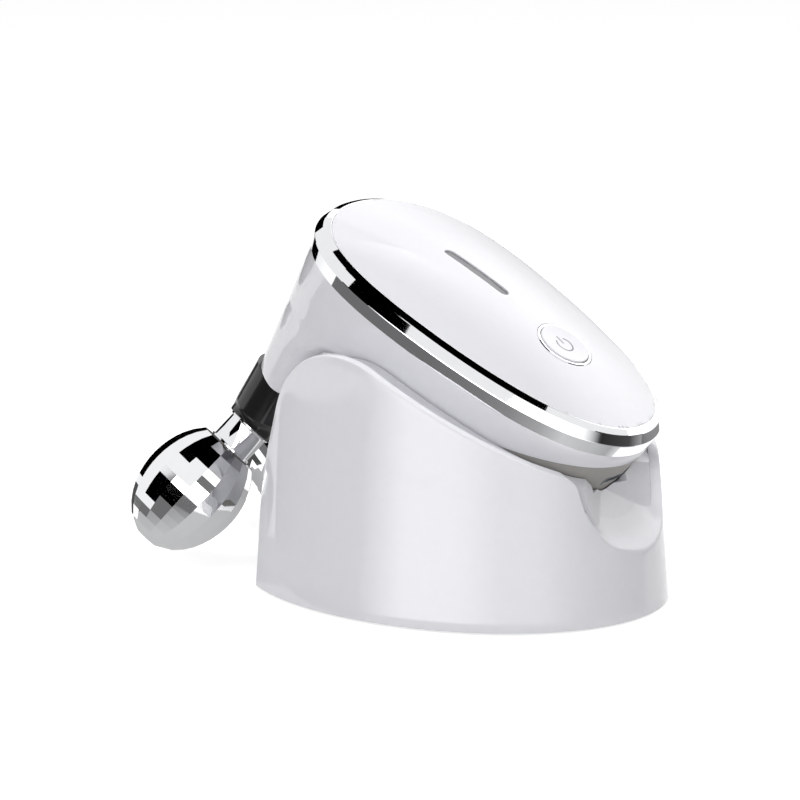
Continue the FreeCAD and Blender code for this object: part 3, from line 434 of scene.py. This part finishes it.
def reach(direction, centre):
    """Distance from a point on the long axis to the face edge in a direction, read between the two
    outline points whose directions lie to either side."""
    seen = np.unwrap(np.arctan2(outline_y, outline_x - centre))
    return np.interp(direction, seen, np.hypot(outline_x - centre, outline_y))


def dome(along, across):
    """Dome height: the rise times 1 - share^2, the share being how far out the point lies on its ray."""
    share = np.hypot(along, across) / reach(np.arctan2(across, along), 0)
    return DOME_RISE * (1 - share ** 2)


def light_slot(direction):
    """Distance from the centre of the round-ended slot to its edge: to the straight side where the ray
    meets it between the two end centres, else to the end circle."""
    cos, sin = np.abs(np.cos(direction)), np.abs(np.sin(direction))
    flat = LIGHT_HALF_WIDTH / np.maximum(sin, TINY)
    beyond = np.sqrt(np.maximum(LIGHT_HALF_WIDTH ** 2 - (LIGHT_HALF_SPAN * sin) ** 2, 0))
    return np.where(flat * cos <= LIGHT_HALF_SPAN, flat, LIGHT_HALF_SPAN * cos + beyond)


def button_hole(direction):
    """Distance from the centre of the button's hole to its edge, the same in every direction."""
    return np.full_like(direction, BUTTON_HOLE)


def cover_patch(centre, hole, facing):
    """One half of the cover: rays from the hole's edge out to the face edge or to the split line, points
    bunched towards the hole, with a soft edge and a short wall down into the hole."""
    half_cut = np.interp(COVER_SPLIT, outline_x[OUTLINE_HALF:][::-1], outline_y[OUTLINE_HALF:][::-1])
    line = np.arctan2(np.linspace(-half_cut, half_cut, SPLIT_RAYS), COVER_SPLIT - centre)
    first, last = line[-1], line[0] + 2 * math.pi
    if facing < 0:
        line = np.mod(line, 2 * math.pi)[::-1]
        first, last = line[-1] - 2 * math.pi, line[0]
    direction = np.concatenate([line, np.linspace(first, last, EDGE_RAYS)[1:-1]])
    far = reach(np.arctan2(np.sin(direction), np.cos(direction)), centre)
    far[:SPLIT_RAYS] = np.abs((COVER_SPLIT - centre) / np.cos(line))
    near, soft = hole(direction), COVER_SOFT_EDGE * COVER_SOFT_SHARE
    bunch = np.concatenate([np.zeros(3), np.linspace(0, 1, COVER_ROWS) ** COVER_BUNCH])
    steps, sink = np.full(len(bunch), COVER_SOFT_EDGE), np.zeros(len(bunch))
    steps[:3], sink[:3] = (0, 0, soft), (COVER_HOLE_WALL, COVER_SOFT_EDGE, soft)
    radius = near + steps[:, None] + bunch[:, None] * (far - near - COVER_SOFT_EDGE)
    along, across = centre + radius * np.cos(direction), radius * np.sin(direction)
    return np.stack([along, across, dome(along, across) - sink[:, None]], -1)


skirt_turn = np.linspace(0, 2 * math.pi, FACE_POINTS, endpoint=False)
skirt_line = egg_ring(skirt_turn, -COVER_GAP)
skirt = np.stack([np.stack([*skirt_line, np.full(FACE_POINTS, level)], -1) for level in (0.0, -COVER_EDGE)])
cover_parts = [cover_patch(LIGHT_CENTRE, light_slot, 1), cover_patch(BUTTON_CENTRE, button_hole, -1), skirt]
starts = np.cumsum([0] + [part.shape[0] * part.shape[1] for part in cover_parts])
cover_quads = np.concatenate([grid_quads(*part.shape[:2], close_columns=True) + start
                              for part, start in zip(cover_parts, starts)])
cover_points = np.concatenate([part.reshape(-1, 3) for part in cover_parts])
cover = put_mesh("top-cover", in_stand(cover_points), cover_quads, white_abs, COVER_CREASE)
fix(cover, "top_cover")

# Light bar: a moulded light guide of smoked acrylic, set into the cover's slot and sunk a little
# below its surface, over two lamps on the board.

# Polished acrylic with smoke dye: a dark, glassy grey while the lamps are off.
smoked_acrylic = finish_of("smoked acrylic, polished", "#6C6C70", "#646468", (0.15, 0.25), 1.0, 0.002,
                           IOR=1.49)
dress("indicator_bar", smoked_acrylic)

# Button ring and power button: a thin chrome-plated ring pressed into the cover, and a white ABS cap
# with a shallow dish that slides in it. The cap carries a printed on-off sign.

# A turned profile, here and on the necks, is a row of corners, each a radius and a height.
RING_PROFILE = ((6.75, -2.4), (6.75, -0.3), (6.95, -0.1), (7.4, -0.1), (7.6, -0.3), (7.6, -2.4))
CAP_RADIUS, CAP_PROUD, CAP_EDGE, CAP_DISH, CAP_DEPTH = 6.6, 0.25, 0.25, 0.35, 2.65
FLANGE_RADIUS, FLANGE_DEPTH, STEM_RADIUS, STEM_DEPTH = 7.2, 3.45, 1.4, 4.4
RING_CREASE, ROUND_POINTS, DISH_ROWS, CAP_EDGE_ROWS, POLE = 20, 128, 24, 7, 0.001
SIGN_RADIUS, SIGN_STROKE, SIGN_GAP, SIGN_LIFT = 2.3, 0.42, math.radians(38), 0.012
SIGN_BAR_LOW, SIGN_BAR_HIGH = 0.35, 3.0
STROKE_ROWS, ARC_POINTS, BAR_POINTS = 4, 72, 16

joint = {entry["name"]: entry for entry in frame["joints"]}
button_axis = -np.array(joint["power_button_press"]["axis"])
button_lean = math.atan2(button_axis[0], button_axis[2])
button_place = in_stand([BUTTON_CENTRE, 0, DOME_RISE * (1 - (BUTTON_CENTRE / FACE_LONG) ** 2)])


def turned(profile, count):
    """Profile of (radius, height) points carried round the upright axis."""
    turn = np.arange(count) * 2 * math.pi / count
    radius, height = np.array(profile, float).T
    return np.stack([radius[:, None] * np.cos(turn), radius[:, None] * np.sin(turn),
                     np.broadcast_to(height[:, None], (len(radius), count))], -1)


ring_points = leaned(turned(RING_PROFILE, ROUND_POINTS), button_lean, button_place)
ring_quads = grid_quads(*ring_points.shape[:2], True, True)
fix(put_mesh("button-ring", ring_points, ring_quads, chrome, RING_CREASE), "button_ring")


def cap_height(radius):
    """Dished top: a parabola from the dish's bottom up to the rim."""
    return CAP_PROUD - CAP_DISH * (1 - (np.asarray(radius) / CAP_RADIUS) ** 2)


cap_flat = np.linspace(POLE, CAP_RADIUS - CAP_EDGE, DISH_ROWS)
cap_ease = np.linspace(0, math.pi / 2, CAP_EDGE_ROWS)[1:]
cap_rim = cap_height(CAP_RADIUS - CAP_EDGE)
cap_profile = np.concatenate([
    np.stack([cap_flat, cap_height(cap_flat)], -1),
    np.stack([CAP_RADIUS - CAP_EDGE * (1 - np.sin(cap_ease)),
              cap_rim - CAP_EDGE * (1 - np.cos(cap_ease))], -1),
    [(CAP_RADIUS, -CAP_DEPTH), (FLANGE_RADIUS, -CAP_DEPTH), (FLANGE_RADIUS, -FLANGE_DEPTH),
     (STEM_RADIUS, -FLANGE_DEPTH), (STEM_RADIUS, -STEM_DEPTH), (POLE, -STEM_DEPTH)]])
cap_points = leaned(turned(cap_profile, ROUND_POINTS), button_lean, button_place)
cap_quads = grid_quads(*cap_points.shape[:2], close_columns=True)
fix(put_mesh("power-button", cap_points, cap_quads, white_abs), "power_button")

# Pad print: a flat mid grey, too thin to catch the light.
grey_ink = finish_of("grey pad print", "#8B8B8F", "#828287", (0.4, 0.5), 0.4, 0.002)
stroke = SIGN_STROKE * np.linspace(-0.5, 0.5, STROKE_ROWS)[:, None]
arc_turn = np.linspace(math.pi - SIGN_GAP, SIGN_GAP - math.pi, ARC_POINTS)
arc = np.stack([(SIGN_RADIUS + stroke) * np.cos(arc_turn), (SIGN_RADIUS + stroke) * np.sin(arc_turn)], -1)
bar_along = -np.linspace(SIGN_BAR_LOW, SIGN_BAR_HIGH, BAR_POINTS)
bar = np.stack(np.broadcast_arrays(bar_along, stroke), -1)
sign_flat = np.concatenate([arc.reshape(-1, 2), bar.reshape(-1, 2)])
sign_lift = cap_height(np.hypot(*sign_flat.T)) + SIGN_LIFT
sign_points = leaned(np.column_stack([sign_flat, sign_lift]), button_lean, button_place)
sign_quads = np.concatenate([grid_quads(STROKE_ROWS, ARC_POINTS),
                             grid_quads(STROKE_ROWS, BAR_POINTS) + STROKE_ROWS * ARC_POINTS])
sign = put_mesh("on-off-sign", sign_points, sign_quads, grey_ink)
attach(sign, "power_button")

# Collars: black ABS sleeves, moulded in a satin tool. Each plugs on a stub of the stem and bends out
# to its roller's axis; its lower end is bored for the axle.
COLLAR_TOP_RADIUS, COLLAR_LOW_RADIUS, COLLAR_STRAIGHT, COLLAR_CHORD = 7.5, 6.9, 12.61, 5.92
LEG_SPLAY, LEG_LEAN = math.radians(31.5), math.radians(3.8)
COLLAR_SOFT_EDGE, COLLAR_EDGE_ROWS, COLLAR_ROWS, COLLAR_CREASE = 0.4, 5, 48, 40
SLEEVE_POINTS, BALL_FACE, NECK_LENGTH = 96, 14.1, 8.1

# Near black, with soft pale streaks where the round sides turn away from the eye.
black_abs = finish_of("black ABS, satin tool", "#0F0F10", "#121213", (0.12, 0.18), 0.8, 0.0006, IOR=1.53)


def collar_tube(axis, low):
    """Bent tube: from the lower end the centre line turns through the splay on an arc whose radius is
    chord / (2 sin(splay / 2)), then runs straight; the radius grows evenly with the turn."""
    stem = np.array([math.sin(FACE_TILT + LEG_LEAN), 0, math.cos(FACE_TILT + LEG_LEAN)])
    aside = unit(stem - (stem @ axis) * axis)
    square = np.cross(axis, aside)
    bend = COLLAR_CHORD / (2 * math.sin(LEG_SPLAY / 2))
    ease = np.linspace(0, math.pi / 2, COLLAR_EDGE_ROWS)
    arc, end = bend * LEG_SPLAY, bend * LEG_SPLAY + COLLAR_STRAIGHT
    run = np.concatenate([[0], COLLAR_SOFT_EDGE * (1 - np.cos(ease)),
                          np.linspace(COLLAR_SOFT_EDGE, end, COLLAR_ROWS)[1:], [end]])
    turn = np.minimum(run, arc)[:, None] / bend
    heading = axis * np.cos(turn) + aside * np.sin(turn)
    centre = low + bend * (axis * np.sin(turn) + aside * (1 - np.cos(turn)))
    centre += heading * np.maximum(run - arc, 0)[:, None]
    sideways = np.cross(square, heading)
    radius = COLLAR_LOW_RADIUS + (COLLAR_TOP_RADIUS - COLLAR_LOW_RADIUS) * turn / LEG_SPLAY
    radius[1:1 + COLLAR_EDGE_ROWS, 0] -= COLLAR_SOFT_EDGE * (1 - np.sin(ease))
    radius[[0, -1]] = POLE
    round_turn = (np.arange(SLEEVE_POINTS) * 2 * math.pi / SLEEVE_POINTS)[:, None]
    spoke = square * np.cos(round_turn) + sideways[:, None] * np.sin(round_turn)
    return centre[:, None] + radius[:, :, None] * spoke


# Necks: brass sleeves on the axles between collar and ball, turned with a bead at either end and
# chrome-plated with the bezel's mirror finish.
NECK_PROFILE = ((1.5, 0.0), (6.0, 0.0), (6.1, -0.1), (6.1, -0.4), (5.65, -0.55), (5.6, -0.7), (5.6, -7.05),
                (5.65, -7.2), (6.1, -7.3), (6.1, -7.65), (6.0, -7.75), (1.5, -7.75))
NECK_CREASE = 25


def along_axis(points, axis, low):
    """Carry points of an upright frame onto an axis, with its zero at a given point."""
    aside = unit(np.cross(axis, [0, 1, 0]))
    return np.asarray(points) @ np.stack([aside, np.cross(axis, aside), axis]) + low


# Roller balls: zinc castings, faceted and chrome-plated, each on a bush that runs on a headed axle
# pin, with a plug that closes the tip.
FACET_CREASE = 1

# Flat mirrors in rows: each facet shows one tone of the studio, hard against its neighbours.
faceted_chrome = finish_of("chrome plate on faceted zinc", "#F3F4F5", "#EDEEF0", (0.03, 0.06), 3.0, 0.0005,
                           Metallic=1.0)
for hand in ("left", "right"):
    spin = joint[hand + "_roller_spin"]
    axis = unit(np.array(spin["axis"]))
    low = np.array(spin["pos_m"]) / MM + axis * (BALL_FACE + NECK_LENGTH)
    tube = collar_tube(axis, low)
    tube_quads = grid_quads(*tube.shape[:2], close_columns=True)
    fix(put_mesh(hand + "-collar", tube, tube_quads, black_abs, COLLAR_CREASE), hand + "_collar")
    sleeve = along_axis(turned(NECK_PROFILE, SLEEVE_POINTS), axis, low)
    sleeve_quads = grid_quads(*sleeve.shape[:2], True, True)
    fix(put_mesh(hand + "-neck", sleeve, sleeve_quads, chrome, NECK_CREASE), hand + "_neck")
    dress(hand + "_axle", zinc_steel)
    dress(hand + "_ball_bush", turned_brass)
    dress(hand + "_ball", faceted_chrome, FACET_CREASE)
    dress(hand + "_tip_plug", faceted_chrome)

# Studio: a white paper sweep under four soft lights, and cards that show in reflections alone: black
# flags, grey cards and the faces of two softboxes. A card's level is 1 for white. The grey card under
# the rollers is painted shadow: it stands in for the floor's shade under the balls.
FLOOR_HALF, FLOOR_GLOW, FLOOR_COLOUR = 1500.0, 0.72, "#C8C8C8"
WORLD_ON_MATT, WORLD_SEEN, LIGHT_AIM = 0.42, 1.0, (0, 0, 45)
CAMERA_AZIMUTH, CAMERA_ELEVATION = math.radians(34.818), math.radians(12.653)
CAMERA_PLACE, CAMERA_LENS, CAMERA_SENSOR = (438.1, -653.8, 223.6), 144.14, 36


def seen_directly(owner):
    """Socket that is 1 for a ray from the camera, a mirror or glass, and 0 for light on a matt surface."""
    path = add_node(owner, "ShaderNodeLightPath").outputs
    mirrored = add_node(owner, "ShaderNodeMath", {0: path["Is Camera Ray"], 1: path["Is Glossy Ray"]},
                        operation="MAXIMUM")
    return add_node(owner, "ShaderNodeMath", {0: mirrored.outputs[0], 1: path["Is Transmission Ray"]},
                    operation="MAXIMUM").outputs[0]


def bare_material(name):
    """Material with an output but no surface yet."""
    material = bpy.data.materials.new(name)
    material.use_nodes = True
    material.node_tree.nodes.remove(material.node_tree.nodes["Principled BSDF"])
    return material, material.node_tree.nodes["Material Output"].inputs["Surface"]


# Uncoated paper: matt, keeps the shadow, and reads as plain white to the camera and in mirrors.
floor_mesh = bpy.data.meshes.new("floor")
floor_corners = np.array([(-1, -1, 0), (1, -1, 0), (1, 1, 0), (-1, 1, 0)]) * FLOOR_HALF * MM
floor_mesh.from_pydata(floor_corners.tolist(), [], [(0, 1, 2, 3)])
floor = bpy.data.objects.new("floor", floor_mesh)
bpy.context.scene.collection.objects.link(floor)
paper, paper_surface = bare_material("white paper sweep")
matt = add_node(paper, "ShaderNodeBsdfDiffuse", {"Color": srgb(FLOOR_COLOUR)})
glow = add_node(paper, "ShaderNodeMath", {0: seen_directly(paper), 1: FLOOR_GLOW}, operation="MULTIPLY")
lift = add_node(paper, "ShaderNodeEmission", {"Strength": glow.outputs[0]})
both = add_node(paper, "ShaderNodeAddShader", {0: matt.outputs[0], 1: lift.outputs[0]})
paper.node_tree.links.new(both.outputs[0], paper_surface)
floor_mesh.materials.append(paper)

world = bpy.data.worlds.new("studio")
world.use_nodes = True
bpy.context.scene.world = world
sky = world.node_tree.nodes["Background"]
sky_level = add_node(world, "ShaderNodeMapRange", {"Value": seen_directly(world), "To Min": WORLD_ON_MATT,
                                                   "To Max": WORLD_SEEN})
sky.inputs["Color"].default_value = srgb("#FFFFFF")
world.node_tree.links.new(sky_level.outputs["Result"], sky.inputs["Strength"])


def soft_light(name, place, size, power):
    """Square area light, aimed at the middle of the object and left out of reflections."""
    lamp = bpy.data.lights.new(name, "AREA")
    lamp.shape, lamp.size, lamp.energy = "SQUARE", size * MM, power
    light = bpy.data.objects.new(name, lamp)
    bpy.context.scene.collection.objects.link(light)
    light.location = (np.array(place) * MM).tolist()
    aim = Vector(LIGHT_AIM) - Vector(place)
    light.rotation_euler = aim.to_track_quat("-Z", "Y").to_euler()
    light.visible_glossy = False


def card(name, points, level):
    """Studio card, seen in reflections alone: a grid of points, each with its own brightness."""
    rows, columns = points.shape[:2]
    mesh = bpy.data.meshes.new(name)
    mesh.from_pydata((points.reshape(-1, 3) * MM).tolist(), [], grid_quads(rows, columns).tolist())
    glow = mesh.attributes.new("glow", "FLOAT", "POINT")
    glow.data.foreach_set("value", np.broadcast_to(level, (rows, columns)).astype(np.float32).ravel())
    material, surface = bare_material(name)
    strength = add_node(material, "ShaderNodeAttribute", attribute_name="glow")
    shine = add_node(material, "ShaderNodeEmission", {"Strength": strength.outputs["Fac"]})
    material.node_tree.links.new(shine.outputs[0], surface)
    mesh.materials.append(material)
    board = bpy.data.objects.new(name, mesh)
    bpy.context.scene.collection.objects.link(board)
    board.visible_camera = board.visible_diffuse = board.visible_shadow = False


def flat_card(name, x, y, height, level):
    """Level card over a rectangle, its brightness given for the whole or for each of its rows along Y."""
    x, y = np.meshgrid(np.array(x, float), np.array(y, float))
    card(name, np.stack([x, y, np.full(x.shape, float(height))], -1), np.reshape(level, (-1, 1)))


def upright_card(name, angle, distance, width, low, high, level):
    """Card that stands at a compass angle, square to the object."""
    turn = math.radians(angle)
    across = np.array([-0.5, 0.5]) * width
    x = distance * math.cos(turn) - across * math.sin(turn)
    y = distance * math.sin(turn) + across * math.cos(turn)
    card(name, np.stack([np.stack([x, y, np.full(2, float(z))], -1) for z in (low, high)]), level)


# Brightness of the front softbox at each turn of the wall, next to the foot and further out.
BAND_NEAR = ((-88.5, 0.5), (-76, 5.0), (-62, 5.0), (-50, 2.8), (-40, 2.8), (-31, 1.4), (-24, 0.6),
             (-8, 0.45), (0, 0.8))
BAND_FAR = ((-88.5, 0.5), (-76, 5.0), (-62, 5.0), (-50, 2.8), (-40, 2.8), (-31, 1.4), (-28, 0.9),
            (-23, 0.03), (-8, 0.07), (0, 0.4))
BAND_RUNS, BAND_COLUMNS, BAND_LIFT, BAND_SLOPE = (1.0, 25.0, 50.0, 400.0), 100, 2, 0.5


def softbox_face():
    """Leaning softbox that the stand's wall mirrors as an upright band. Each column starts at a turn of
    the wall's foot and leaves along the mirrored line of sight, 2 (n . c) n - c, rising as it goes; the
    band's brightness follows the turn, and on the right it falls off away from the foot."""
    degrees = np.linspace(BAND_NEAR[0][0], BAND_NEAR[-1][0], BAND_COLUMNS)
    near, far = (np.interp(degrees, *zip(*levels)) for levels in (BAND_NEAR, BAND_FAR))
    turn = np.radians(degrees)
    foot = np.stack([SHELL_LONG * np.cos(turn), SHELL_WIDE * np.sin(turn)], -1)
    normal = unit(np.stack([np.cos(turn) / SHELL_LONG, np.sin(turn) / SHELL_WIDE], -1))
    sight = np.array([math.sin(CAMERA_AZIMUTH), -math.cos(CAMERA_AZIMUTH)])
    mirrored = 2 * (normal @ sight)[:, None] * normal - sight
    run = np.array(BAND_RUNS)[:, None, None]
    rise = np.broadcast_to(BAND_LIFT + run * BAND_SLOPE, (len(run), len(turn), 1))
    return np.concatenate([foot + run * mirrored, rise], -1), np.stack([near, near, far, far])


# Grey sheet at each turn of the wall: the height it leaves from, how far it runs, and its brightness.
SHEET_TURNS, SHEET_COLUMNS, SHEET_START = (-88.5, -62, -45, -35, -24), 72, 0.02
SHEET_HEIGHTS, SHEET_RUNS = (40, 34, 26, 20, 13), (50, 32, 24, 20, 18)
SHEET_LEVELS = ((-88.5, 0.17), (-72, 0.22), (-62, 0.28), (-50, 0.43), (-40, 0.69), (-24, 0.58))


def bezel_card():
    """Grey sheet that the bezel's lowest band mirrors. Each column leaves the wall along the mirrored
    line of sight, 2 (n . c) n - c, so the wall sees the sheet edge-on; n comes from the tangents of
    the tapered oval."""
    degrees = np.linspace(SHEET_TURNS[0], SHEET_TURNS[-1], SHEET_COLUMNS)
    height, run = (np.interp(degrees, SHEET_TURNS, line) for line in (SHEET_HEIGHTS, SHEET_RUNS))
    turn = np.radians(degrees)
    wall = on_wall(turn, height, 0)
    long, wide = SHELL_LONG - SHELL_DRAFT * height, SHELL_WIDE - SHELL_DRAFT * height
    rise = SHELL_DRAFT * (long * np.sin(turn) ** 2 + wide * np.cos(turn) ** 2)
    normal = unit(np.stack([wide * np.cos(turn), long * np.sin(turn), rise], -1))
    sight = unit(np.array(CAMERA_PLACE) - wall)
    mirrored = 2 * np.sum(normal * sight, -1, keepdims=True) * normal - sight
    points = wall + np.array([SHEET_START, 1])[:, None, None] * run[:, None] * mirrored
    return points, np.interp(degrees, *zip(*SHEET_LEVELS))


FRONT_FLAG = np.array([[(-607, -467, 40), (40, -720, 40)], [(-335, -647, 700), (-27, -735, 700)]], float)
REAR_X, REAR_Y, REAR_Z = (-1400.0, -350, 0, 900), 900, (40.0, 300, 600, 900)
REAR_BY_HEIGHT, REAR_BY_WIDTH = (1.3, 1.7, 2.6, 2.2), (0.5, 0.6, 1, 1)
CARD_LIFT, NEAR_CARD_LIFT = 0.5, 0.8

soft_light("top softbox", place=(40, 120, 900), size=380, power=4.0)
soft_light("front softbox", place=(231, -766, 250), size=450, power=2.0)
soft_light("side softbox", place=(-700, -300, 450), size=500, power=1.0)
soft_light("right softbox", place=(800, -200, 250), size=450, power=0.4)
flat_card("overhead flag", x=(-270, 570), y=(-500, 450, 650, 900), height=900, level=(0, 0, 1.2, 2.2))
flat_card("floor card, front left", x=(-420, 0), y=(-600, -48), height=CARD_LIFT, level=0.17)
# Painted shadow: this grey card lies where the balls shade the floor, so the balls' lower facets mirror that
# shade, which the floor's glow would otherwise take away.
flat_card("painted shadow card, under the rollers", x=(-105, -40), y=(-80, -40, 30), height=NEAR_CARD_LIFT,
          level=(0.25, 0.6, 0.4))
flat_card("floor card, left", x=(-330, -112), y=(-10, 220), height=CARD_LIFT, level=0.08)
flat_card("floor card, right rear", x=(100, 420), y=(0, 60, 110, 160, 260), height=CARD_LIFT,
          level=(0.02, 0.04, 0.08, 0.28, 0.35))
flat_card("floor card, behind the chin", x=(20, 100), y=(140, 260), height=CARD_LIFT, level=0.3)
upright_card("left flag", angle=145.6, distance=706, width=652, low=20, high=370, level=0.0)
card("front left flag", FRONT_FLAG, 0.0)
card("front softbox face", *softbox_face())
card("grey card, under the bezel", *bezel_card())
rear_x, rear_z = np.meshgrid(REAR_X, REAR_Z)
card("rear softbox face", np.stack([rear_x, np.full_like(rear_x, REAR_Y), rear_z], -1),
     np.outer(REAR_BY_HEIGHT, REAR_BY_WIDTH))

# Camera: a long lens, level from side to side, at the photograph's viewing angle.
camera_data = bpy.data.cameras.new("camera")
camera_data.lens, camera_data.sensor_width = CAMERA_LENS, CAMERA_SENSOR
camera = bpy.data.objects.new("camera", camera_data)
bpy.context.scene.collection.objects.link(camera)
camera.location = (np.array(CAMERA_PLACE) * MM).tolist()
camera.rotation_euler = (math.pi / 2 - CAMERA_ELEVATION, 0, CAMERA_AZIMUTH)
bpy.context.scene.camera = camera
bpy.context.scene.view_settings.view_transform = "Standard"

bpy.context.view_layer.update()
